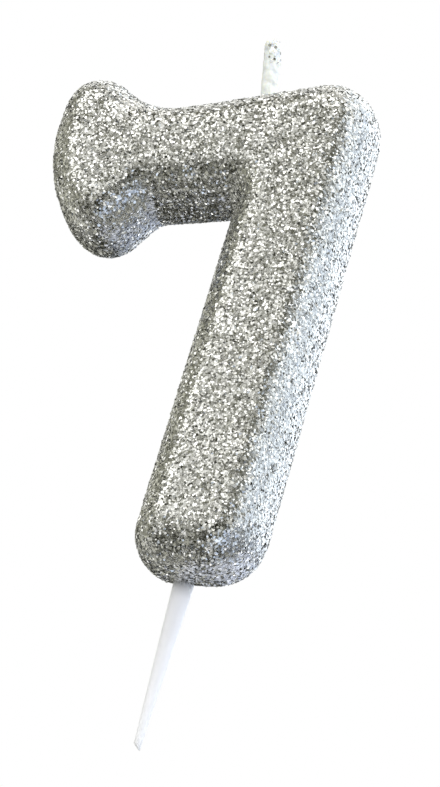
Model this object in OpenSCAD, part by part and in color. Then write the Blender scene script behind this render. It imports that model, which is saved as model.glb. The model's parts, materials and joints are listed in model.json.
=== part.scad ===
// Numeral candle: a moulded wax 7 under a lacquered glitter coat, with a wick and a pick for the cake.
// The numeral stands upright: X runs along its bar, Y through its thickness, and Z up.
// The origin is where the pick leaves the foot, behind the middle of the thickness.

/* [Numeral] */
// Thickness through the finished numeral, front to back
thickness = 14.2; // [12:0.1:18]
// How far the front and back edges round in from the outline
edge_r = 4.4; // [3:0.1:4.4]
// How far the same rounding reaches through the thickness
edge_depth = 6.3; // [4:0.1:7]
// Width of the stem at the level of the foot
stem_w = 16.15; // [13:0.05:18]
// Distance from the stem's left edge to the pick, at the level of the foot
pick_inset = 6.25; // [5:0.05:8]
// Distance from the middle of the thickness back to the pick
pick_back = 3.3; // [0:0.1:3.5]
// Lean of the stem's left edge from the vertical, in degrees
lean_left = 12.4; // [10:0.05:14]
// Lean of the stem's right edge from the vertical, in degrees
lean_right = 11.5; // [10:0.05:13]
// Slope of the foot's underside down to the right, in degrees
foot_slope = 7.1; // [0:0.1:9]
// Level of the bar's underside above the foot
bar_under_z = 50.75; // [46:0.05:56]
// Height of the bar where it leaves the head
bar_h = 13.2; // [10:0.1:14]
// Rise of the bar's top edge towards the right, in degrees
bar_rise = 5.85; // [2:0.05:8]

/* [Head] */
// Place where the bar meets the head, to the left of the pick
neck_x = -6.65; // [-8:0.05:-5]
// Upper lobe of the head, across, before it is rounded
lobe_top_x = -16.25; // [-18:0.05:-14]
// Upper lobe of the head, level
lobe_top_z = 73.6; // [71:0.1:75]
// Left flank of the head, across
flank_x = -21.6; // [-24:0.1:-19]
// Left flank of the head, level
flank_z = 57.2; // [55:0.1:59]
// Lower lobe of the head, across
lobe_low_x = -14.6; // [-17:0.1:-13]
// Lower lobe of the head, level
lobe_low_z = 43; // [42:0.05:46]

/* [Corner radii] */
// Upper and lower lobes of the head
lobe_r = 4.9; // [4.5:0.1:5.5]
// Left corner of the foot
toe_r = 4.5; // [4.5:0.1:6]
// Left flank of the head
flank_r = 18.4; // [12:0.1:20]
// Fillet under the bar, beside the head
under_r = 1.5; // [1:0.1:4]
// Fillet between the bar and the stem
crook_r = 0.3; // [0.3:0.1:3]
// Right corner of the foot
heel_r = 6.9; // [4.5:0.1:7.4]
// Top right corner of the numeral
shoulder_r = 5.5; // [4.5:0.1:7]
// Dip between the upper lobe and the bar
dip_r = 9.5; // [4:0.1:12]

/* [Coats] */
// Thickness of the glitter layer
glitter_t = 0.35; // [0.2:0.05:0.6]
// Thickness of the lacquer that holds the glitter
lacquer_t = 0.15; // [0.1:0.05:0.3]

/* [Wick] */
// Place of the wick to the right of the pick
wick_x = 7.5; // [6.8:0.1:8]
// Radius of the cotton braid
wick_r = 0.75; // [0.5:0.05:0.8]
// Outer radius of the wax drawn over the exposed wick
sleeve_r = 1.1; // [0.9:0.05:1.4]
// Level of the wick's lower end, above the pick's anchor
wick_low_z = 14; // [12.5:0.5:20]
// Level of the wick's tip
wick_tip_z = 75.5; // [72:0.5:80]
// Bare braid left above the sleeve
wick_bare = 0.8; // [0.4:0.1:2]

/* [Pick] */
// Lean of the pick from the vertical, in degrees
pick_lean = 11.5; // [10:0.1:13]
// Length of the pick below the foot
pick_len = 22.3; // [18:0.1:30]
// Radius where the pick leaves the foot
pick_r = 1.3; // [1:0.05:1.5]
// Radius at the tip
tip_r = 0.46; // [0.3:0.02:0.8]
// Slant of the tip's cut from square, in degrees
tip_cut = 38; // [0:1:45]
// Length of the anchor inside the wax
anchor_len = 11.5; // [8:0.5:12]
// Number of barbs on the anchor
barb_count = 3; // [2:1:3]
// How far a barb stands out of the anchor
barb_out = 0.5; // [0.3:0.1:0.8]
// Length of one barb
barb_len = 1.6; // [1.2:0.1:2]

/* [Hidden] */
$fn = 48;
// Most degrees of a corner that one facet covers, and the number of facets across a front or back edge
arc_step = 12;
edge_steps = 5;
// Size by which a cutting block overshoots the pick
spare = 10;
half_t = thickness / 2;
coat_t = glitter_t + lacquer_t;
barb_pitch = anchor_len / (barb_count + 0.5);
sleeve_low_z = bar_under_z + bar_h / 2;

// Height that the rounding takes the foot's underside up by, from the middle of the thickness to the pick.
pick_rise = edge_r * (1 - sqrt(1 - pow(max(0, pick_back + edge_depth - half_t) / edge_depth, 2)));

// Levels of the foot's two corners: its underside passes through the origin.
foot_left_z = pick_inset * tan(foot_slope) - pick_rise;
foot_right_z = foot_left_z - stem_w * tan(foot_slope);

// Level of the bar's top edge over the neck, and where that edge meets the stem's right edge.
bar_top_z = bar_under_z + bar_h;
shoulder_z = (bar_top_z + (stem_w - pick_inset - neck_x) * tan(bar_rise))
    / (1 - tan(lean_right) * tan(bar_rise));

// A point of the stem's left or right edge at level z, before the corners are rounded.
function left_edge(z) = [z * tan(lean_left) - pick_inset, z];
function right_edge(z) = [z * tan(lean_right) + stem_w - pick_inset, z];

// The corners in order from the upper lobe, anticlockwise as seen from the front: [point, radius].
corners = [
    [[lobe_top_x, lobe_top_z], lobe_r],
    [[flank_x, flank_z], flank_r],
    [[lobe_low_x, lobe_low_z], lobe_r],
    [[neck_x, bar_under_z], under_r],
    [left_edge(bar_under_z), crook_r],
    [left_edge(foot_left_z), toe_r],
    [right_edge(foot_right_z), heel_r],
    [right_edge(shoulder_z), shoulder_r],
    [[neck_x, bar_top_z], dip_r],
];

function unit(v) = v / norm(v);

// Rounds corner c between its neighbours a and b: a list of [point, outward normal] along the arc.
function rounded(a, c, b, r) =
    let (
        back = unit(a - c),
        on = unit(b - c),
        half = acos(back * on) / 2,
        side = sign(cross(c - a, b - c)),
        centre = c + unit(back + on) * r / sin(half),
        first = c + back * r / tan(half) - centre,
        start = atan2(first.y, first.x),
        sweep = side * (180 - 2 * half),
        steps = ceil(abs(sweep) / arc_step)
    )
    [for (i = [0:steps])
        let (t = start + sweep * i / steps, ray = [cos(t), sin(t)])
        [centre + r * ray, side * ray]];

// The places of corners in that list, for the ones that the front and back faces are divided at.
FLANK = 1;
UNDER = 3;
SHOULDER = 7;
DIP = 8;

count = len(corners);
arcs = [for (i = [0:count - 1])
    rounded(corners[(i + count - 1) % count][0], corners[i][0],
            corners[(i + 1) % count][0], corners[i][1])];
outline = [for (a = arcs) each a];
n = len(outline);

// The place in the outline of an arc's first, middle and last point.
function first_of(k) = k == 0 ? 0 : first_of(k - 1) + len(arcs[k - 1]);
function middle_of(k) = first_of(k) + floor(len(arcs[k]) / 2);
function last_of(k) = first_of(k) + len(arcs[k]) - 1;

// The whole of the head can be seen from its flank, and all of the bar and stem from the shoulder,
// so each flat face is these two polygons, each of which starts at the point that sees it all.
head_face = [
    each [middle_of(FLANK):last_of(UNDER)],
    each [first_of(DIP):n - 1],
    each [0:middle_of(FLANK) - 1],
];
stem_face = [
    each [middle_of(SHOULDER):first_of(DIP)],
    each [last_of(UNDER):middle_of(SHOULDER) - 1],
];

// The same face seen from its other side, from the same first point.
function turned(face) = [face[0], for (i = [len(face) - 1:-1:1]) face[i]];

// One slice of the numeral: the outline moved inwards by inset, at depth y.
function slice(inset, y) = [for (q = outline) let (p = q[0] - inset * q[1]) [p.x, y, p.y]];

// The [inset, y] of each slice across the front edge, for the surface that lies depth below the finish.
function front_edge(depth) =
    [for (i = [0:edge_steps])
        let (t = 90 * i / edge_steps)
        [depth + (edge_r - depth) * (1 - sin(t)),
         depth - half_t + (edge_depth - depth) * (1 - cos(t))]];

// The closed numeral whose surface lies depth below the finished surface all over. Its middle plane
// lies in front of the pick.
module numeral(depth) {
    front = front_edge(depth);
    back = [for (i = [edge_steps:-1:0]) [front[i].x, -front[i].y]];
    stack = concat(front, back);
    last = len(stack) - 1;
    points = [for (s = stack) each slice(s.x, s.y)];
    sides = [for (k = [0:last - 1], i = [0:n - 1])
        let (j = (i + 1) % n)
        [k * n + i, k * n + j, (k + 1) * n + j, (k + 1) * n + i]];
    front_faces = [for (face = [head_face, stem_face]) turned(face)];
    back_faces = [for (face = [head_face, stem_face]) [for (i = face) last * n + i]];
    translate([0, -pick_back, 0])
        polyhedron(points = points, faces = concat(front_faces, sides, back_faces));
}

// A round on the wick's axis, in the middle of the thickness, between two levels.
module wick_round(r, low_z, top_z) {
    translate([wick_x, -pick_back, low_z])
        cylinder(r = r, h = top_z - low_z);
}

// The braid itself, and the room that the sleeve takes from inside the bar upwards.
module wick_core() {
    wick_round(wick_r, wick_low_z, wick_tip_z);
}

module sleeve_room() {
    wick_round(sleeve_r, sleeve_low_z, wick_tip_z - wick_bare);
}

// The pick along its own axis, tip down: a tapered spike with a slanted tip, and a barbed anchor above.
module pick_along_z() {
    difference() {
        translate([0, 0, -pick_len])
            cylinder(r1 = tip_r, r2 = pick_r, h = pick_len);
        translate([tip_r, 0, -pick_len])
            rotate([0, tip_cut, 0])
                translate([-spare, -spare, -2 * spare])
                    cube(2 * spare);
    }
    cylinder(r = pick_r, h = anchor_len);
    for (i = [1:barb_count])
        translate([0, 0, i * barb_pitch])
            cylinder(r1 = pick_r + barb_out, r2 = pick_r, h = barb_len);
}

module pick_shape() {
    rotate([0, pick_lean, 0])
        pick_along_z();
}

// Moulded paraffin numeral, cast round the wick and the pick's anchor.
module wax_body() {
    color("gainsboro")
        difference() {
            numeral(coat_t);
            wick_core();
            pick_shape();
        }
}

// Clear lacquer brushed over the wax.
module lacquer_coat() {
    color("whitesmoke")
        difference() {
            numeral(glitter_t);
            numeral(coat_t);
            sleeve_room();
            pick_shape();
        }
}

// Silver glitter bedded in the lacquer.
module glitter_coat() {
    color("silver")
        difference() {
            numeral(0);
            numeral(glitter_t);
            sleeve_room();
            pick_shape();
        }
}

// Braided cotton wick, from above the anchor up through the bar.
module wick() {
    color("ivory")
        wick_core();
}

// Wax that sheathes the exposed wick, resting on the numeral.
module wick_wax() {
    color("lightyellow")
        difference() {
            sleeve_room();
            numeral(coat_t);
            wick_core();
        }
}

// White plastic pick, cast into the foot.
module pick() {
    color("white")
        pick_shape();
}

wax_body();
lacquer_coat();
glitter_coat();
wick();
wick_wax();
pick();
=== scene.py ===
"""Looks of the numeral candle: its glitter, wick, wax and pick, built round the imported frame."""
import json
import math

import bmesh
import bpy
from bpy.props import FloatProperty, FloatVectorProperty, IntProperty, PointerProperty
from mathutils import Matrix, Vector

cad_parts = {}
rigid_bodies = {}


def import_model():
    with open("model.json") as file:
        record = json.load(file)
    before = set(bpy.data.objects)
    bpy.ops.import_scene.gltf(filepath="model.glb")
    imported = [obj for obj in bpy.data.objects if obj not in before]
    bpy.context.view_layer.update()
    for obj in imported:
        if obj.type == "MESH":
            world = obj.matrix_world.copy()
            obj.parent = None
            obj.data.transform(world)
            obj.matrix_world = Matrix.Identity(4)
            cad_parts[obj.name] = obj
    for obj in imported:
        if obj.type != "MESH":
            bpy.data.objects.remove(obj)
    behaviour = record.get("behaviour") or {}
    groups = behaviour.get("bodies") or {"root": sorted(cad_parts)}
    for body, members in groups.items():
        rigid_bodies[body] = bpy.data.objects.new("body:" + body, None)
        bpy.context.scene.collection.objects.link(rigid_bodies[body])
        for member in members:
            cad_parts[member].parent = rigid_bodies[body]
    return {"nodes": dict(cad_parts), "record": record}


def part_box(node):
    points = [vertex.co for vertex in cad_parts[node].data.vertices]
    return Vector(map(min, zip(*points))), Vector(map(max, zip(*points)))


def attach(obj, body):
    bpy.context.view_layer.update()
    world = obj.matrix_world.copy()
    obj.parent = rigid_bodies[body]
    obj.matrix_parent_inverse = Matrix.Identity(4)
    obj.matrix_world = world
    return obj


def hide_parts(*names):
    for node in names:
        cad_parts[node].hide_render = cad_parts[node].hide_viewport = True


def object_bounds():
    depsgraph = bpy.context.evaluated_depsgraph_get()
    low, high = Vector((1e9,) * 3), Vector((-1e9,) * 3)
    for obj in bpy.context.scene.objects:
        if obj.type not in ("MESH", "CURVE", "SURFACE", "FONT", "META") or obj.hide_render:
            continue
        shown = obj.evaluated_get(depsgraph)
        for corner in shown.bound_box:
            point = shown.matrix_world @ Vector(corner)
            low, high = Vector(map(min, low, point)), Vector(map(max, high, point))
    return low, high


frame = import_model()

bl_info = {
    "name": "Numeral candle",
    "version": (1, 0, 0),
    "blender": (4, 5, 0),
    "location": "View3D > Sidebar > Candle",
    "description": "Builds the glitter coat, wick and pick of a numeral candle round its frame",
    "category": "Object",
}

MM = 0.001
BODY = "root"
CAD_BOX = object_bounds()

# What the frame says about the pick and the wick.
PICK = next(m for m in frame["record"]["mounts"] if m["name"] == "pick")
PICK_AXIS = Vector(PICK["axis"]).normalized()
PICK_LEAN = math.atan2(-PICK_AXIS.x, -PICK_AXIS.z)
PICK_LENGTH = PICK["dims"]["length_mm"] * MM
PICK_R = PICK["dims"]["r_mm"] * MM
WICK_LOW, WICK_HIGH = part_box("wick")
SLEEVE_LOW, SLEEVE_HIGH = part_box("wick_wax")
WICK_X = (WICK_LOW.x + WICK_HIGH.x) / 2
WICK_Y = (WICK_LOW.y + WICK_HIGH.y) / 2
WICK_R = (WICK_HIGH.x - WICK_LOW.x) / 2
SLEEVE_R = (SLEEVE_HIGH.x - SLEEVE_LOW.x) / 2

# A distance past every part of the candle, in metres.
FAR = 0.2


# Settings that a user would change


class CoatSettings(bpy.types.PropertyGroup):
    """Sizes and colours of the glitter coat."""

    flake_width: FloatProperty(
        name="Flake width", description="Width of a flake across its corners",
        default=0.32 * MM, min=0.1 * MM, max=1.5 * MM, unit="LENGTH", precision=5)
    flake_gap: FloatProperty(
        name="Flake gap", description="Least distance between the middles of two flakes",
        default=0.168 * MM, min=0.15 * MM, max=1.5 * MM, unit="LENGTH", precision=5)
    flake_tilt: FloatProperty(
        name="Flake tilt", description="Most that a flake leans out of the surface",
        default=math.radians(42), min=0, max=math.radians(80), subtype="ANGLE")
    flake_lift: FloatProperty(
        name="Flake lift", description="Most that a flake stands out of its bed",
        default=0.05 * MM, min=0, max=1.0 * MM, unit="LENGTH", precision=5)
    bed_grain: FloatProperty(
        name="Bed grain", description="Size of the faces of the bed under the flakes",
        default=0.35 * MM, min=0.2 * MM, max=1.0 * MM, unit="LENGTH", precision=5)
    bed_depth: FloatProperty(
        name="Bed depth", description="Depth of the bed below the finished surface",
        default=0.02 * MM, min=0, max=0.5 * MM, unit="LENGTH", precision=5)
    wave: FloatProperty(
        name="Wax waves", description="Height of the shallow waves that casting leaves in the wax",
        default=0.12 * MM, min=0, max=1.0 * MM, unit="LENGTH", precision=5)
    silver: FloatVectorProperty(
        name="Silver", description="Colour of the brightest flakes",
        default=(0.95, 0.95, 0.94), min=0, max=1, size=3, subtype="COLOR")
    pewter: FloatVectorProperty(
        name="Pewter", description="Colour of the darkest flakes",
        default=(0.55, 0.55, 0.54), min=0, max=1, size=3, subtype="COLOR")
    seed: IntProperty(name="Seed", description="Seed of the scatter", default=7, min=0)


class WickSettings(bpy.types.PropertyGroup):
    """Sizes and colours of the wick and its wax."""

    strands: IntProperty(
        name="Strands each way", description="Strands of the braid that wind each way",
        default=4, min=2, max=8)
    pitch: FloatProperty(
        name="Pitch", description="Height in which a strand winds once round the wick",
        default=5.2 * MM, min=2 * MM, max=12 * MM, unit="LENGTH", precision=5)
    strand_r: FloatProperty(
        name="Strand radius", description="Radius of one strand",
        default=0.18 * MM, min=0.05 * MM, max=0.4 * MM, unit="LENGTH", precision=5)
    cotton: FloatVectorProperty(
        name="Cotton", description="Colour of the cotton",
        default=(0.93, 0.9, 0.8), min=0, max=1, size=3, subtype="COLOR")
    wax: FloatVectorProperty(
        name="Wax", description="Colour of the wax on the wick",
        default=(0.99, 0.98, 0.85), min=0, max=1, size=3, subtype="COLOR")


class PickSettings(bpy.types.PropertyGroup):
    """Sizes and colour of the pick."""

    tip_r: FloatProperty(
        name="Tip radius", description="Radius of the spike at its tip",
        default=0.46 * MM, min=0.2 * MM, max=1 * MM, unit="LENGTH", precision=5)
    tip_cut: FloatProperty(
        name="Tip cut", description="Slant of the tip's cut from square",
        default=math.radians(38), min=0, max=math.radians(60), subtype="ANGLE")
    plastic: FloatVectorProperty(
        name="Plastic", description="Colour of the plastic",
        default=(0.87, 0.875, 0.93), min=0, max=1, size=3, subtype="COLOR")


class StageSettings(bpy.types.PropertyGroup):
    """Where the camera stands."""

    azimuth: FloatProperty(
        name="Azimuth", description="Angle of the camera to the right of the front",
        default=math.radians(15.7), subtype="ANGLE")
    elevation: FloatProperty(
        name="Elevation", description="Angle of the camera above the horizon",
        default=math.radians(-26.4), subtype="ANGLE")
    roll: FloatProperty(
        name="Roll", description="Turn of the camera about its own axis",
        default=math.radians(4.15), subtype="ANGLE")
    distance: FloatProperty(
        name="Distance", description="Distance from the camera to the candle",
        default=593 * MM, min=0.1, max=5, unit="LENGTH")
    lens: FloatProperty(
        name="Lens", description="Focal length of the camera, in millimetres",
        default=217.3, min=20, max=400)


# Small steps that the pieces share


def only(*objects):
    """Selects these objects alone, the last one active."""
    bpy.ops.object.select_all(action="DESELECT")
    for o in objects:
        o.select_set(True)
    bpy.context.view_layer.objects.active = objects[-1]


def named(name):
    """Names the object that an operator has just added."""
    o = bpy.context.object
    o.name = o.data.name = name
    return o


def settle(piece):
    """Moves a piece's place into its mesh."""
    only(piece)
    bpy.ops.object.transform_apply(location=True, rotation=True, scale=True)


def modify(piece, kind, **values):
    """Adds a modifier with these values and applies it."""
    only(piece)
    mod = piece.modifiers.new(kind.title(), kind)
    for key, value in values.items():
        setattr(mod, key, value)
    bpy.ops.object.modifier_apply(modifier=mod.name)


def choose(piece, kind, test):
    """In edit mode, selects only the piece's verts, edges or faces that pass the test."""
    mesh = bmesh.from_edit_mesh(piece.data)
    bpy.ops.mesh.select_all(action="DESELECT")
    bpy.context.tool_settings.mesh_select_mode = (kind == "verts", kind == "edges", kind == "faces")
    for item in getattr(mesh, kind):
        item.select_set(bool(test(item)))
    mesh.select_flush_mode()
    bmesh.update_edit_mesh(piece.data)


def keep(piece, slot, material, *replaced):
    """Gives a finished piece its material, fixes it to the candle's body and hides the parts that it
    replaces.
    """
    piece.data.materials.clear()
    piece.data.materials.append(material)
    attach(piece, BODY)
    if replaced:
        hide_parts(*replaced)


# Materials


def shader(name, **values):
    """A new material, its node tree and its Principled BSDF, with these constants on its sockets."""
    material = bpy.data.materials.new(name)
    material.use_nodes = True
    tree = material.node_tree
    bsdf = next(n for n in tree.nodes if n.type == "BSDF_PRINCIPLED")
    for socket, value in values.items():
        bsdf.inputs[socket.replace("_", " ")].default_value = value
    return material, tree, bsdf


# The sockets of a colour Mix node.
MIX_A, MIX_B, MIX_RESULT = 6, 7, 2


def ranged(tree, source, low, high):
    """A Map Range node that takes source from 0 at low to 1 at high."""
    made = tree.nodes.new("ShaderNodeMapRange")
    tree.links.new(source, made.inputs["Value"])
    made.inputs["From Min"].default_value = low
    made.inputs["From Max"].default_value = high
    return made


def ramp(tree, source, stops):
    """A colour ramp on source, through (place, colour) stops."""
    node = tree.nodes.new("ShaderNodeValToRGB")
    elements = node.color_ramp.elements
    while len(elements) < len(stops):
        elements.new(1.0)
    for element, (place, colour) in zip(elements, stops):
        element.position = place
        element.color = (*colour, 1.0)
    tree.links.new(source, node.inputs["Fac"])
    return node.outputs["Color"]


def flake_metal(coat):
    """Polished foil, each flake with its own tone."""
    material, tree, bsdf = shader("silver_flakes", Metallic=1.0, Roughness=0.14)
    tone = tree.nodes.new("ShaderNodeAttribute")
    tone.attribute_name = "tone"
    middle = [(a + b) / 2 for a, b in zip(coat.silver, coat.pewter)]
    colour = ramp(tree, tone.outputs["Fac"], [(0.0, coat.pewter), (0.35, middle), (1.0, coat.silver)])
    tree.links.new(colour, bsdf.inputs["Base Color"])
    return material


def bed_metal(coat):
    """Finer glitter packed between the flakes."""
    material, tree, bsdf = shader("glitter_bed", Metallic=1.0, Roughness=0.4)
    coords = tree.nodes.new("ShaderNodeTexCoord")
    grain, grain_height = 0.28 * MM, 0.1 * MM
    cells = tree.nodes.new("ShaderNodeTexVoronoi")
    cells.inputs["Scale"].default_value = 1 / grain
    tree.links.new(coords.outputs["Object"], cells.inputs["Vector"])
    split = tree.nodes.new("ShaderNodeSeparateColor")
    tree.links.new(cells.outputs["Color"], split.inputs["Color"])
    dim = [0.8 * c for c in coat.pewter]
    colour = ramp(tree, split.outputs["Red"], [(0.0, dim), (0.6, coat.pewter), (1.0, coat.silver)])
    tree.links.new(colour, bsdf.inputs["Base Color"])
    bump = tree.nodes.new("ShaderNodeBump")
    bump.inputs["Strength"].default_value = 1.0
    bump.inputs["Distance"].default_value = grain_height
    tree.links.new(split.outputs["Green"], bump.inputs["Height"])
    tree.links.new(bump.outputs["Normal"], bsdf.inputs["Normal"])
    return material


def mottle():
    """The shared group: soft blotches between two colours, and shallow bumps to match."""
    made = bpy.data.node_groups.get("mottle")
    if made:
        return made
    tree = bpy.data.node_groups.new("mottle", "ShaderNodeTree")
    for name, kind in (("Light", "Color"), ("Dark", "Color"), ("Scale", "Float"), ("Depth", "Float")):
        tree.interface.new_socket(name, in_out="INPUT", socket_type="NodeSocket" + kind)
    for name, kind in (("Color", "Color"), ("Normal", "Vector")):
        tree.interface.new_socket(name, in_out="OUTPUT", socket_type="NodeSocket" + kind)
    enter = tree.nodes.new("NodeGroupInput")
    leave = tree.nodes.new("NodeGroupOutput")
    coords = tree.nodes.new("ShaderNodeTexCoord")
    noise = tree.nodes.new("ShaderNodeTexNoise")
    noise.inputs["Detail"].default_value = 4.0
    tree.links.new(enter.outputs["Scale"], noise.inputs["Scale"])
    tree.links.new(coords.outputs["Object"], noise.inputs["Vector"])
    blotch = ranged(tree, noise.outputs["Fac"], 0.3, 0.7)
    colour = tree.nodes.new("ShaderNodeMix")
    colour.data_type = "RGBA"
    tree.links.new(blotch.outputs["Result"], colour.inputs["Factor"])
    tree.links.new(enter.outputs["Dark"], colour.inputs[MIX_A])
    tree.links.new(enter.outputs["Light"], colour.inputs[MIX_B])
    tree.links.new(colour.outputs[MIX_RESULT], leave.inputs["Color"])
    bump = tree.nodes.new("ShaderNodeBump")
    bump.inputs["Strength"].default_value = 0.4
    tree.links.new(enter.outputs["Depth"], bump.inputs["Distance"])
    tree.links.new(noise.outputs["Fac"], bump.inputs["Height"])
    tree.links.new(bump.outputs["Normal"], leave.inputs["Normal"])
    return tree


def mottled(name, colour, amount, size, **values):
    """A material whose colour and surface vary softly, in blotches of this size."""
    material, tree, bsdf = shader(name, **values)
    blotches = tree.nodes.new("ShaderNodeGroup")
    blotches.node_tree = mottle()
    blotches.inputs["Light"].default_value = (*colour, 1)
    blotches.inputs["Dark"].default_value = (*(c * (1 - amount) for c in colour), 1)
    blotches.inputs["Scale"].default_value = 1 / size
    blotches.inputs["Depth"].default_value = 0.1 * size
    tree.links.new(blotches.outputs["Color"], bsdf.inputs["Base Color"])
    tree.links.new(blotches.outputs["Normal"], bsdf.inputs["Normal"])
    return material


# The glitter coat


def outer_skin(node, name):
    """A closed copy of a coat's outer surface, with the holes for the wick and the pick filled."""
    only(frame["nodes"][node])
    bpy.ops.object.duplicate()
    skin = named(name)
    bpy.ops.object.parent_clear(type="CLEAR_KEEP_TRANSFORM")
    bpy.ops.object.mode_set(mode="EDIT")
    bpy.ops.mesh.select_all(action="SELECT")
    bpy.ops.mesh.remove_doubles(threshold=0.002 * MM)
    slack = 0.03 * MM

    def by_wick(p):
        off_axis = math.hypot(p.x - WICK_X, p.y - WICK_Y)
        return off_axis < SLEEVE_R + slack and p.z > SLEEVE_LOW.z - MM

    def by_pick(p):
        return p.cross(PICK_AXIS).length < PICK_R + slack and p.length < 2 * PICK_R

    def in_hole(face):
        return all(by_wick(v.co) for v in face.verts) or all(by_pick(v.co) for v in face.verts)

    choose(skin, "faces", in_hole)
    bpy.ops.mesh.delete(type="FACE")
    # The outer surface is the one that reaches furthest left.
    left = min(v.co.x for v in bmesh.from_edit_mesh(skin.data).verts)
    choose(skin, "verts", lambda v: v.co.x < left + slack / 10)
    bpy.ops.mesh.select_linked()
    bpy.ops.mesh.select_all(action="INVERT")
    bpy.ops.mesh.delete(type="VERT")
    bpy.ops.mesh.select_all(action="SELECT")
    bpy.ops.mesh.fill_holes(sides=0)
    bpy.ops.object.mode_set(mode="OBJECT")
    return skin


class CANDLE_OT_glitter_bed(bpy.types.Operator):
    """Builds the bed of fine glitter that the flakes lie on"""

    bl_idname = "candle.glitter_bed"
    bl_label = "Glitter bed"

    def execute(self, context):
        coat = context.scene.candle_coat
        bed = outer_skin("glitter_coat", "glitter_bed")
        modify(bed, "REMESH", mode="VOXEL", voxel_size=coat.bed_grain)
        modify(bed, "SMOOTH", factor=0.5, iterations=14)
        modify(bed, "DISPLACE", strength=-coat.bed_depth, mid_level=0.0)
        waves = bpy.data.textures.new("wax_waves", "CLOUDS")
        waves.noise_scale = 4 * MM
        modify(bed, "DISPLACE", texture=waves, strength=coat.wave, mid_level=0.5)
        bpy.ops.object.shade_smooth()
        keep(bed, "glitter", bed_metal(coat), "glitter_coat")
        return {"FINISHED"}


def make_flake():
    """One flake, a unit across: a six-sided plate with a shallow point below that beds into the coat."""
    bpy.ops.object.select_all(action="DESELECT")
    bpy.ops.mesh.primitive_circle_add(vertices=6, radius=0.5, fill_type="NGON")
    flake = named("flake")
    bpy.ops.object.mode_set(mode="EDIT")
    bpy.ops.mesh.select_all(action="SELECT")
    point = -0.22
    bpy.ops.mesh.extrude_region_move(TRANSFORM_OT_translate={"value": (0, 0, point)})
    bpy.ops.mesh.merge(type="CENTER")
    bpy.ops.mesh.select_all(action="SELECT")
    bpy.ops.mesh.normals_make_consistent(inside=False)
    bpy.ops.object.mode_set(mode="OBJECT")
    return flake


def feed(tree, node, operation, values):
    """Sets a maths node's operation, and links or sets its inputs."""
    node.operation = operation
    for socket, value in zip(node.inputs, values):
        if isinstance(value, bpy.types.NodeSocket):
            tree.links.new(value, socket)
        else:
            socket.default_value = value
    return node


def maths(tree, operation, *values):
    """The result of a Math node."""
    return feed(tree, tree.nodes.new("ShaderNodeMath"), operation, values).outputs[0]


def vector_maths(tree, operation, *values):
    """A Vector Math node."""
    return feed(tree, tree.nodes.new("ShaderNodeVectorMath"), operation, values)


def scaled(tree, vector, amount):
    """A vector times the number that another node gives."""
    made = vector_maths(tree, "SCALE", vector)
    tree.links.new(amount, made.inputs["Scale"])
    return made.outputs[0]


def random_value(tree, low, high, seed, vector=False):
    """A random number or vector for each flake."""
    made = tree.nodes.new("FunctionNodeRandomValue")
    made.data_type = "FLOAT_VECTOR" if vector else "FLOAT"
    first = 0 if vector else 2
    made.inputs[first].default_value = low
    made.inputs[first + 1].default_value = high
    made.inputs["Seed"].default_value = seed
    return made.outputs[0 if vector else 1]


def stored(tree, source, name, kind, value, domain="POINT"):
    """Source with a value kept on it as a named attribute."""
    made = tree.nodes.new("GeometryNodeStoreNamedAttribute")
    made.data_type = kind
    made.domain = domain
    tree.links.new(source, made.inputs["Geometry"])
    made.inputs["Name"].default_value = name
    tree.links.new(value, made.inputs["Value"])
    return made.outputs["Geometry"]


def read(tree, name, kind):
    """The values of a named attribute."""
    made = tree.nodes.new("GeometryNodeInputNamedAttribute")
    made.data_type = kind
    made.inputs["Name"].default_value = name
    return made.outputs["Attribute"]


def points_on(tree, surface, coat, gap, low, high):
    """Points a gap or more apart on the part of a surface between two corners, and their rotations."""
    spread = tree.nodes.new("GeometryNodeDistributePointsOnFaces")
    spread.distribute_method = "POISSON"
    tree.links.new(surface, spread.inputs["Mesh"])
    tries = 3.0
    spread.inputs["Distance Min"].default_value = gap
    spread.inputs["Density Max"].default_value = tries / gap ** 2
    spread.inputs["Seed"].default_value = coat.seed

    place = tree.nodes.new("ShaderNodeSeparateXYZ")
    tree.links.new(tree.nodes.new("GeometryNodeInputPosition").outputs[0], place.inputs[0])
    outside = 0.0
    for i, axis in enumerate("XYZ"):
        under = maths(tree, "LESS_THAN", place.outputs[axis], low[i])
        over = maths(tree, "GREATER_THAN", place.outputs[axis], high[i])
        outside = maths(tree, "ADD", outside, maths(tree, "ADD", under, over))
    drop = tree.nodes.new("GeometryNodeDeleteGeometry")
    drop.domain = "POINT"
    tree.links.new(spread.outputs["Points"], drop.inputs["Geometry"])
    tree.links.new(outside, drop.inputs["Selection"])
    return drop.outputs["Geometry"], spread.outputs["Rotation"]


def leant(tree, rotation, coat):
    """A flake's rotation, leant and spun at random: most lean a little and a few lean a lot."""
    most, few = coat.flake_tilt, 1.5
    way = random_value(tree, (-most, -most, 0), (most, most, 0), coat.seed + 2, True)
    share = maths(tree, "POWER", random_value(tree, 0.0, 1.0, coat.seed + 3), few)
    spin = random_value(tree, (0, 0, -math.pi), (0, 0, math.pi), coat.seed + 6, True)
    turn = tree.nodes.new("FunctionNodeRotateRotation")
    turn.rotation_space = "LOCAL"
    tree.links.new(rotation, turn.inputs["Rotation"])
    both = vector_maths(tree, "ADD", scaled(tree, way, share), spin)
    tree.links.new(both.outputs[0], turn.inputs["Rotate By"])
    return turn.outputs[0]


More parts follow.
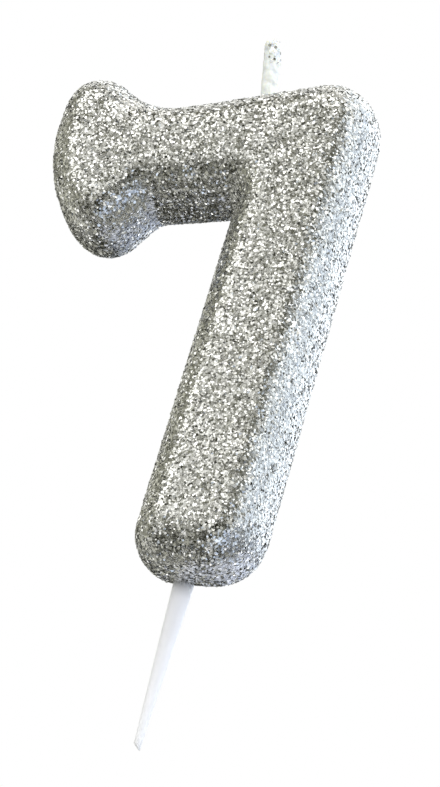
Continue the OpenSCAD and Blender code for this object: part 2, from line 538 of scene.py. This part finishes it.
def mapped(tree, flakes):
    """The flakes, each with its own small square of the bake's map."""
    index = read(tree, "flake_number", "FLOAT")
    count = tree.nodes.new("GeometryNodeAttributeStatistic")
    tree.links.new(flakes, count.inputs["Geometry"])
    tree.links.new(index, count.inputs["Attribute"])
    cells = maths(tree, "CEIL", maths(tree, "SQRT", maths(tree, "ADD", count.outputs["Max"], 1.0)))
    column = maths(tree, "FLOORED_MODULO", index, cells)
    row = maths(tree, "FLOOR", maths(tree, "DIVIDE", index, cells))
    local = tree.nodes.new("ShaderNodeSeparateXYZ")
    tree.links.new(read(tree, "flake_place", "FLOAT_VECTOR"), local.inputs[0])
    cell = tree.nodes.new("ShaderNodeCombineXYZ")
    fill, middle = 0.8, 0.5
    for axis, start in (("X", column), ("Y", row)):
        inner = maths(tree, "MULTIPLY_ADD", local.outputs[axis], fill, middle)
        place = maths(tree, "DIVIDE", maths(tree, "ADD", start, inner), cells)
        tree.links.new(place, cell.inputs[axis])
    return stored(tree, flakes, "OFBake", "FLOAT2", cell.outputs[0], "CORNER")


def scatter(coat, flake, gap, low, high):
    """A node tree that covers the part of a surface between two corners with flakes."""
    tree = bpy.data.node_groups.new("scatter_flakes", "GeometryNodeTree")
    tree.interface.new_socket("Geometry", in_out="INPUT", socket_type="NodeSocketGeometry")
    tree.interface.new_socket("Geometry", in_out="OUTPUT", socket_type="NodeSocketGeometry")
    enter = tree.nodes.new("NodeGroupInput")
    leave = tree.nodes.new("NodeGroupOutput")

    points, rotation = points_on(tree, enter.outputs[0], coat, gap, low, high)
    points = stored(tree, points, "tone", "FLOAT", random_value(tree, 0.0, 1.0, coat.seed + 1))
    index = tree.nodes.new("GeometryNodeInputIndex").outputs[0]
    points = stored(tree, points, "flake_number", "FLOAT", index)

    body = tree.nodes.new("GeometryNodeObjectInfo")
    body.transform_space = "ORIGINAL"
    body.inputs["Object"].default_value = flake
    place = tree.nodes.new("GeometryNodeInputPosition").outputs[0]
    shape = stored(tree, body.outputs["Geometry"], "flake_place", "FLOAT_VECTOR", place)

    put = tree.nodes.new("GeometryNodeInstanceOnPoints")
    tree.links.new(points, put.inputs["Points"])
    tree.links.new(shape, put.inputs["Instance"])
    tree.links.new(leant(tree, rotation, coat), put.inputs["Rotation"])
    smallest, largest = 0.65 * coat.flake_width, 1.45 * coat.flake_width
    tree.links.new(random_value(tree, smallest, largest, coat.seed + 4), put.inputs["Scale"])

    lift = random_value(tree, 0.0, coat.flake_lift / coat.flake_width, coat.seed + 5)
    up = tree.nodes.new("ShaderNodeCombineXYZ")
    tree.links.new(lift, up.inputs["Z"])
    lifted = tree.nodes.new("GeometryNodeTranslateInstances")
    lifted.inputs["Local Space"].default_value = True
    tree.links.new(put.outputs[0], lifted.inputs["Instances"])
    tree.links.new(up.outputs[0], lifted.inputs["Translation"])

    real = tree.nodes.new("GeometryNodeRealizeInstances")
    tree.links.new(lifted.outputs[0], real.inputs[0])
    tree.links.new(mapped(tree, real.outputs[0]), leave.inputs[0])
    return tree


def dust(surface, name, coat, flake, gap, low, high):
    """Flakes on the part of a piece's surface between two corners, as a piece of their own."""
    only(surface)
    bpy.ops.object.duplicate()
    flakes = named(name)
    bpy.ops.object.parent_clear(type="CLEAR_KEEP_TRANSFORM")
    mod = flakes.modifiers.new("Scatter", "NODES")
    mod.node_group = scatter(coat, flake, gap, low, high)
    bpy.ops.object.modifier_apply(modifier=mod.name)
    keep(flakes, "glitter", bpy.data.materials["silver_flakes"])


class CANDLE_OT_glitter_flakes(bpy.types.Operator):
    """Scatters the silver flakes over the bed, in one piece for each part of the numeral"""

    bl_idname = "candle.glitter_flakes"
    bl_label = "Glitter flakes"

    def execute(self, context):
        coat = context.scene.candle_coat
        flake_metal(coat)
        flake = make_flake()
        bed = bpy.data.objects["glitter_bed"]
        neck_x, bar_x = -7 * MM, 8 * MM
        cheek_z, under_z, thigh_z, shin_z = 58 * MM, 50 * MM, 33 * MM, 16 * MM
        parts = {
            "head_top_flakes": ((-FAR, -FAR, cheek_z), (neck_x, FAR, FAR)),
            "head_low_flakes": ((-FAR, -FAR, -FAR), (neck_x, FAR, cheek_z)),
            "bar_flakes": ((neck_x, -FAR, under_z), (bar_x, FAR, FAR)),
            "shoulder_flakes": ((bar_x, -FAR, under_z), (FAR, FAR, FAR)),
            "thigh_flakes": ((neck_x, -FAR, thigh_z), (FAR, FAR, under_z)),
            "shin_flakes": ((neck_x, -FAR, shin_z), (FAR, FAR, thigh_z)),
            "foot_flakes": ((neck_x, -FAR, -FAR), (FAR, FAR, shin_z)),
        }
        for name, (low, high) in parts.items():
            dust(bed, name, coat, flake, coat.flake_gap, low, high)
        bpy.data.objects.remove(flake)
        return {"FINISHED"}


# The wick


# Height over which the wick's tip rounds in.
ROUND_TIP = 1.2 * MM


def rounding(z):
    """How far the wick's tip has rounded in at this level: 0 below it and 1 at its end."""
    return max(0.0, (z - WICK_HIGH.z + ROUND_TIP) / ROUND_TIP) ** 2


class CANDLE_OT_wick(bpy.types.Operator):
    """Braids the cotton wick"""

    bl_idname = "candle.wick"
    bl_label = "Wick"

    def execute(self, context):
        wick = context.scene.candle_wick
        sway, drawn_in = 0.07 * MM, 0.6
        middle_r = WICK_R - wick.strand_r - sway
        low, high = WICK_LOW.z, WICK_HIGH.z
        steps = 16 * round((high - low) / wick.pitch)
        curve = bpy.data.curves.new("wick_braid", "CURVE")
        curve.dimensions = "3D"
        curve.bevel_depth = wick.strand_r
        curve.bevel_resolution = 1
        curve.use_fill_caps = True
        for hand in (1, -1):
            for strand in range(wick.strands):
                start = 2 * math.pi * strand / wick.strands
                spline = curve.splines.new("POLY")
                spline.points.add(steps)
                for i, point in enumerate(spline.points):
                    turn = 2 * math.pi * (high - low) / wick.pitch * i / steps
                    angle = hand * turn + start
                    z = low + (high - low) * i / steps
                    r = middle_r + hand * sway * math.cos(wick.strands * turn)
                    r *= 1 - drawn_in * rounding(z)
                    point.co = (WICK_X + r * math.cos(angle), WICK_Y + r * math.sin(angle), z, 1)
        braid = bpy.data.objects.new("wick_braid", curve)
        context.collection.objects.link(braid)
        only(braid)
        bpy.ops.object.convert(target="MESH")
        braid = named("wick_braid")
        bpy.ops.object.mode_set(mode="EDIT")
        bpy.ops.mesh.select_all(action="SELECT")
        bpy.ops.mesh.remove_doubles(threshold=0.001 * MM)
        bpy.ops.object.mode_set(mode="OBJECT")
        bpy.ops.object.shade_smooth()
        cotton = mottled("cotton", wick.cotton, 0.25, 0.15 * MM, Roughness=0.85)
        keep(braid, "cotton", cotton, "wick")
        return {"FINISHED"}


class CANDLE_OT_wick_wax(bpy.types.Operator):
    """Draws the wax over the exposed wick"""

    bl_idname = "candle.wick_wax"
    bl_label = "Wick wax"

    def execute(self, context):
        wick = context.scene.candle_wick
        bare, drawn_in, rings = 0.15 * MM, 0.5, 48
        low, high = SLEEVE_LOW.z, WICK_HIGH.z - bare
        bpy.ops.object.select_all(action="DESELECT")
        bpy.ops.mesh.primitive_circle_add(
            vertices=20, radius=SLEEVE_R, location=(WICK_X, WICK_Y, low))
        sleeve = named("wick_sleeve")
        settle(sleeve)
        modify(sleeve, "SCREW", angle=0, screw_offset=high - low, steps=rings, render_steps=rings)
        bpy.ops.object.mode_set(mode="EDIT")
        for i in range(rings + 1):
            z = low + (high - low) * i / rings
            shrink = 1 - drawn_in * rounding(z)
            if shrink < 1:
                choose(sleeve, "verts", lambda v: abs(v.co.z - z) < 0.01 * MM)
                bpy.ops.transform.resize(
                    value=(shrink, shrink, 1), center_override=(WICK_X, WICK_Y, z))
        bpy.ops.mesh.select_all(action="SELECT")
        bpy.ops.mesh.normals_make_consistent(inside=False)
        bpy.ops.object.mode_set(mode="OBJECT")
        modify(sleeve, "SOLIDIFY", thickness=0.9 * (SLEEVE_R - WICK_R), offset=-1)
        lumps = bpy.data.textures.new("sleeve_lumps", "CLOUDS")
        lumps.noise_scale = 1.1 * MM
        modify(sleeve, "SUBSURF", levels=1, render_levels=1)
        modify(sleeve, "DISPLACE", texture=lumps, strength=0.3 * MM, mid_level=0.5)
        bpy.ops.object.shade_smooth()
        wax = mottled("sleeve_wax", wick.wax, 0.1, 0.8 * MM, Roughness=0.45,
                      Subsurface_Weight=0.6, Subsurface_Scale=0.002,
                      Subsurface_Radius=(1.0, 0.8, 0.5))
        keep(sleeve, "sleeve_wax", wax, "wick_wax")
        return {"FINISHED"}


class CANDLE_OT_wick_flakes(bpy.types.Operator):
    """Leaves a few stray flakes on one side of the wick's tip"""

    bl_idname = "candle.wick_flakes"
    bl_label = "Wick flakes"

    def execute(self, context):
        coat = context.scene.candle_coat
        flake = make_flake()
        sleeve = bpy.data.objects["wick_sleeve"]
        gap = 2.6 * coat.flake_gap
        low = (WICK_X - 0.1 * MM, -FAR, WICK_HIGH.z - 4 * MM)
        dust(sleeve, "wick_flakes", coat, flake, gap, low, (FAR, FAR, FAR))
        bpy.data.objects.remove(flake)
        return {"FINISHED"}


# The pick


def turned_piece(name, stations, sides=48):
    """A round piece on Z, extruded ring by ring through (radius, level) stations."""
    (r, z), rest = stations[0], stations[1:]
    bpy.ops.object.select_all(action="DESELECT")
    bpy.ops.mesh.primitive_circle_add(vertices=sides, radius=r, fill_type="NGON", location=(0, 0, z))
    piece = named(name)
    settle(piece)
    bpy.ops.object.mode_set(mode="EDIT")
    bpy.ops.mesh.select_all(action="SELECT")
    for next_r, next_z in rest:
        bpy.ops.mesh.extrude_region_move(TRANSFORM_OT_translate={"value": (0, 0, next_z - z)})
        scale = next_r / r
        bpy.ops.transform.resize(value=(scale, scale, 1), center_override=(0, 0, next_z))
        r, z = next_r, next_z
    bpy.ops.mesh.select_all(action="SELECT")
    bpy.ops.mesh.normals_make_consistent(inside=False)
    bpy.ops.object.mode_set(mode="OBJECT")
    return piece


class CANDLE_OT_pick(bpy.types.Operator):
    """Models the white plastic pick"""

    bl_idname = "candle.pick"
    bl_label = "Pick"

    def execute(self, context):
        pick = context.scene.candle_pick
        rings = 12
        stations = []
        for i in range(rings + 1):
            f = i / rings
            stations.append((pick.tip_r + (PICK_R - pick.tip_r) * f, PICK_LENGTH * (f - 1)))
        barbs, anchor = 3, 11.5 * MM
        barb_r, barb_length, edge = PICK_R + 0.5 * MM, 1.6 * MM, 0.01 * MM
        pitch = anchor / (barbs + 0.5)
        for i in range(1, barbs + 1):
            z = i * pitch
            stations += [(PICK_R, z), (barb_r, z + edge), (PICK_R, z + barb_length)]
        stations.append((PICK_R, anchor))
        spike = turned_piece("pick_spike", stations)
        bpy.ops.object.mode_set(mode="EDIT")
        bpy.ops.mesh.select_all(action="SELECT")
        bpy.ops.mesh.bisect(
            plane_co=(pick.tip_r, 0, -PICK_LENGTH),
            plane_no=(-math.sin(pick.tip_cut), 0, -math.cos(pick.tip_cut)),
            use_fill=True, clear_outer=True)
        bpy.ops.object.mode_set(mode="OBJECT")
        spike.rotation_euler = (0, PICK_LEAN, 0)
        settle(spike)
        modify(spike, "BEVEL", width=0.04 * MM, segments=2, limit_method="ANGLE",
               angle_limit=math.radians(35))
        bpy.ops.object.shade_smooth_by_angle(angle=math.radians(40))
        plastic = mottled("pick_plastic", pick.plastic, 0.03, 3 * MM, Roughness=0.3,
                          Subsurface_Weight=0.4, Subsurface_Scale=0.002,
                          Subsurface_Radius=(1.0, 1.0, 1.0))
        keep(spike, "pick_plastic", plastic, "pick")
        return {"FINISHED"}


class CANDLE_OT_hidden_layers(bpy.types.Operator):
    """Gives the wax and the lacquer under the glitter their materials"""

    bl_idname = "candle.hidden_layers"
    bl_label = "Hidden layers"

    def execute(self, context):
        paraffin, varnish = (0.86, 0.86, 0.83), (0.8, 0.8, 0.78)
        looks = {
            "wax_body": mottled("wax", paraffin, 0.06, 2 * MM, Roughness=0.5),
            "lacquer_coat": mottled("lacquer", varnish, 0.1, 1 * MM, Roughness=0.2),
        }
        for name, material in looks.items():
            for slot in frame["nodes"][name].material_slots:
                slot.material = material
        return {"FINISHED"}


# The stage


# The soft boxes that the glitter reflects: the angle to the right of the front, the angle above the
# horizon, the half width in degrees, and the colour. The room's own are dappled, the windows are even.
ROOM = {
    "key": (-13, 25, 46, (0.62, 0.62, 0.62)),
    "right fill": (50, 26, 55, (0.38, 0.38, 0.37)),
    "overhead": (0, 75, 50, (0.28, 0.27, 0.26)),
}
WINDOWS = {
    "window": (110, 26, 60, (0.75, 0.85, 0.97)),
    "far window": (155, 28, 40, (0.38, 0.41, 0.43)),
    "back overhead": (175, 52, 52, (1.08, 1.08, 1.06)),
    "low window": (56, -52, 26, (0.64, 0.76, 0.98)),
    "right floor": (97, -32, 40, (0.16, 0.18, 0.22)),
    "backdrop": (165, 8, 34, (0.3, 0.35, 0.45)),
    "back floor": (158, -18, 30, (0.25, 0.28, 0.36)),
    "left wall": (-82, 22, 60, (0.22, 0.22, 0.175)),
    "low left": (-115, -25, 45, (0.32, 0.32, 0.3)),
}
AMBIENT = (0.13, 0.13, 0.11)
# What the dapples dim and brighten the room by, how few of them are bright, and how fine they are.
DIM = (0.14, 0.14, 0.09)
BRIGHT = (4.1, 4.1, 4.1)
RARE = 2.8
DAPPLE_SCALE = 5.0
DAPPLE_EDGE = (0.38, 0.66)
# Small lamps all round, that a flake in the shade catches now and then.
SPARK = (2.0, 2.0, 2.0)
SPARK_SCALE = 9.0
SPARK_EDGE = (0.71, 0.735)
# Soft lights that only the wax, the pick and the floor see: the two angles as above, the distance and
# the size in metres, the power in watts and the colour.
MATT_LIGHTS = {
    "matt_front": (14, 4, 0.6, 0.35, 1.95, (0.98, 0.98, 1)),
    "matt_top": (20, 60, 0.6, 0.4, 1.25, (1, 1, 0.99)),
    "matt_side": (95, 0, 0.6, 0.5, 1.4, (0.97, 0.98, 1)),
    "matt_left": (-70, 8, 0.6, 0.4, 0.75, (0.99, 0.99, 0.97)),
}
# A small card close behind the foot and below it, which the underside of the foot reflects.
HEEL = Vector((9 * MM, 1 * MM, -2 * MM))
HEEL_CARD = (172, -38, 60 * MM, 75 * MM, 0.0075, (0.8, 0.85, 1))


def pointing(azimuth, elevation):
    """The direction at these angles, in degrees, to the right of the front and above the horizon."""
    a, e = math.radians(azimuth), math.radians(elevation)
    return Vector((math.sin(a) * math.cos(e), -math.cos(a) * math.cos(e), math.sin(e)))


def add_boxes(tree, room, sky, boxes):
    """Adds the glow of these soft boxes to a room's light."""
    for azimuth, elevation, half_width, colour in boxes.values():
        facing = vector_maths(tree, "DOT_PRODUCT", sky, pointing(azimuth, elevation))
        edge = math.cos(math.radians(half_width))
        fade = ranged(tree, facing.outputs["Value"], edge, 1.0)
        fade.interpolation_type = "SMOOTHSTEP"
        glow = scaled(tree, colour, fade.outputs["Result"])
        room = vector_maths(tree, "ADD", room, glow).outputs[0]
    return room


def sky_noise(tree, sky, scale, detail, edge):
    """Noise over the room, from 0 at the edge's low value to 1 at its high one."""
    noise = tree.nodes.new("ShaderNodeTexNoise")
    noise.inputs["Scale"].default_value = scale
    noise.inputs["Detail"].default_value = detail
    tree.links.new(sky, noise.inputs["Vector"])
    return ranged(tree, noise.outputs["Fac"], *edge).outputs["Result"]


def light_world():
    """White behind the candle, and a room of soft boxes for it to reflect."""
    world = bpy.data.worlds.new("studio")
    bpy.context.scene.world = world
    world.use_nodes = True
    tree = world.node_tree
    tree.nodes.clear()
    sky = tree.nodes.new("ShaderNodeTexCoord").outputs["Generated"]
    room = vector_maths(tree, "ADD", AMBIENT, (0, 0, 0)).outputs[0]
    room = add_boxes(tree, room, sky, ROOM)
    dapple = maths(tree, "POWER", sky_noise(tree, sky, DAPPLE_SCALE, 1.0, DAPPLE_EDGE), RARE)
    gain = scaled(tree, [b - d for b, d in zip(BRIGHT, DIM)], dapple)
    gain = vector_maths(tree, "ADD", gain, DIM).outputs[0]
    room = vector_maths(tree, "MULTIPLY", room, gain).outputs[0]
    sparks = scaled(tree, SPARK, sky_noise(tree, sky, SPARK_SCALE, 0.0, SPARK_EDGE))
    room = vector_maths(tree, "ADD", room, sparks).outputs[0]
    room = add_boxes(tree, room, sky, WINDOWS)
    back = tree.nodes.new("ShaderNodeMix")
    back.data_type = "RGBA"
    straight = tree.nodes.new("ShaderNodeLightPath").outputs["Is Camera Ray"]
    tree.links.new(straight, back.inputs["Factor"])
    tree.links.new(room, back.inputs[MIX_A])
    back.inputs[MIX_B].default_value = (1, 1, 1, 1)
    shade = tree.nodes.new("ShaderNodeBackground")
    tree.links.new(back.outputs[MIX_RESULT], shade.inputs["Color"])
    out = tree.nodes.new("ShaderNodeOutputWorld")
    tree.links.new(shade.outputs[0], out.inputs[0])


def soft_light(name, target, azimuth, elevation, distance, size, power, colour, in_glitter=False):
    """A round soft light at this angle from a target, which may or may not show in the glitter."""
    light = bpy.data.lights.new(name, "AREA")
    light.shape = "DISK"
    light.size = size
    light.energy = power
    light.color = colour
    lamp = bpy.data.objects.new(name, light)
    bpy.context.collection.objects.link(lamp)
    way = pointing(azimuth, elevation)
    lamp.location = target + way * distance
    lamp.rotation_euler = way.to_track_quat("Z", "Y").to_euler()
    lamp.visible_glossy = in_glitter
    lamp.visible_camera = False


def floor_paint():
    """Pale floor, seen from above only."""
    material, tree, bsdf = shader("floor_paint", Base_Color=(0.6, 0.6, 0.6, 1), Roughness=0.8)
    out = next(n for n in tree.nodes if n.type == "OUTPUT_MATERIAL")
    back = tree.nodes.new("ShaderNodeNewGeometry").outputs["Backfacing"]
    clear = tree.nodes.new("ShaderNodeBsdfTransparent")
    mix = tree.nodes.new("ShaderNodeMixShader")
    tree.links.new(back, mix.inputs[0])
    tree.links.new(bsdf.outputs[0], mix.inputs[1])
    tree.links.new(clear.outputs[0], mix.inputs[2])
    tree.links.new(mix.outputs[0], out.inputs["Surface"])
    return material


def aim_camera(stage):
    """A camera that looks at the candle from the stage's angles."""
    back = pointing(math.degrees(stage.azimuth), math.degrees(stage.elevation))
    right = Vector((math.cos(stage.azimuth), math.sin(stage.azimuth), 0))
    up = back.cross(right)
    rolled = right * math.cos(stage.roll) + up * math.sin(stage.roll)
    data = bpy.data.cameras.new("camera")
    data.sensor_width = 36
    data.lens = stage.lens
    data.clip_start, data.clip_end = 0.01, 20
    camera = bpy.data.objects.new("camera", data)
    bpy.context.collection.objects.link(camera)
    target = Vector((3.8, -3.3, 24.5)) * MM
    turn = Matrix((rolled, back.cross(rolled), back)).transposed()
    camera.matrix_world = Matrix.Translation(target + back * stage.distance) @ turn.to_4x4()
    bpy.context.scene.camera = camera


class CANDLE_OT_stage(bpy.types.Operator):
    """Sets up the floor, the lights and the camera"""

    bl_idname = "candle.stage"
    bl_label = "Stage"

    def execute(self, context):
        bpy.ops.object.select_all(action="DESELECT")
        bpy.ops.mesh.primitive_plane_add(size=3, location=(0, 0, CAD_BOX[0].z))
        floor = named("floor")
        settle(floor)
        floor.data.materials.append(floor_paint())
        floor.visible_diffuse = floor.visible_glossy = False
        middle = Vector((0, 0, (CAD_BOX[0].z + CAD_BOX[1].z) / 2))
        for name, values in MATT_LIGHTS.items():
            soft_light(name, middle, *values)
        soft_light("heel_card", HEEL, *HEEL_CARD, in_glitter=True)
        light_world()
        aim_camera(context.scene.candle_stage)
        context.scene.view_settings.view_transform = "Standard"
        return {"FINISHED"}


class CANDLE_PT_panel(bpy.types.Panel):
    """Lists the steps that build the candle's looks"""

    bl_label = "Numeral candle"
    bl_idname = "CANDLE_PT_panel"
    bl_space_type = "VIEW_3D"
    bl_region_type = "UI"
    bl_category = "Candle"

    def draw(self, context):
        for group in GROUPS:
            box = self.layout.box()
            for key in group[1].__annotations__:
                box.prop(getattr(context.scene, group[0]), key)
        for step in STEPS:
            self.layout.operator(step.bl_idname)


GROUPS = (
    ("candle_coat", CoatSettings),
    ("candle_wick", WickSettings),
    ("candle_pick", PickSettings),
    ("candle_stage", StageSettings),
)
STEPS = (
    CANDLE_OT_glitter_bed,
    CANDLE_OT_glitter_flakes,
    CANDLE_OT_wick,
    CANDLE_OT_wick_wax,
    CANDLE_OT_wick_flakes,
    CANDLE_OT_pick,
    CANDLE_OT_hidden_layers,
    CANDLE_OT_stage,
)


def register():
    """Registers the settings, the steps and the panel."""
    for name, group in GROUPS:
        bpy.utils.register_class(group)
        setattr(bpy.types.Scene, name, PointerProperty(type=group))
    for step in STEPS:
        bpy.utils.register_class(step)
    bpy.utils.register_class(CANDLE_PT_panel)


def unregister():
    """Undoes register."""
    bpy.utils.unregister_class(CANDLE_PT_panel)
    for step in reversed(STEPS):
        bpy.utils.unregister_class(step)
    for name, group in reversed(GROUPS):
        delattr(bpy.types.Scene, name)
        bpy.utils.unregister_class(group)


def main():
    """Builds every piece and the stage."""
    register()
    bpy.ops.candle.glitter_bed()
    bpy.ops.candle.glitter_flakes()
    bpy.ops.candle.wick()
    bpy.ops.candle.wick_wax()
    bpy.ops.candle.wick_flakes()
    bpy.ops.candle.pick()
    bpy.ops.candle.hidden_layers()
    bpy.ops.candle.stage()


if __name__ == "__main__":
    main()
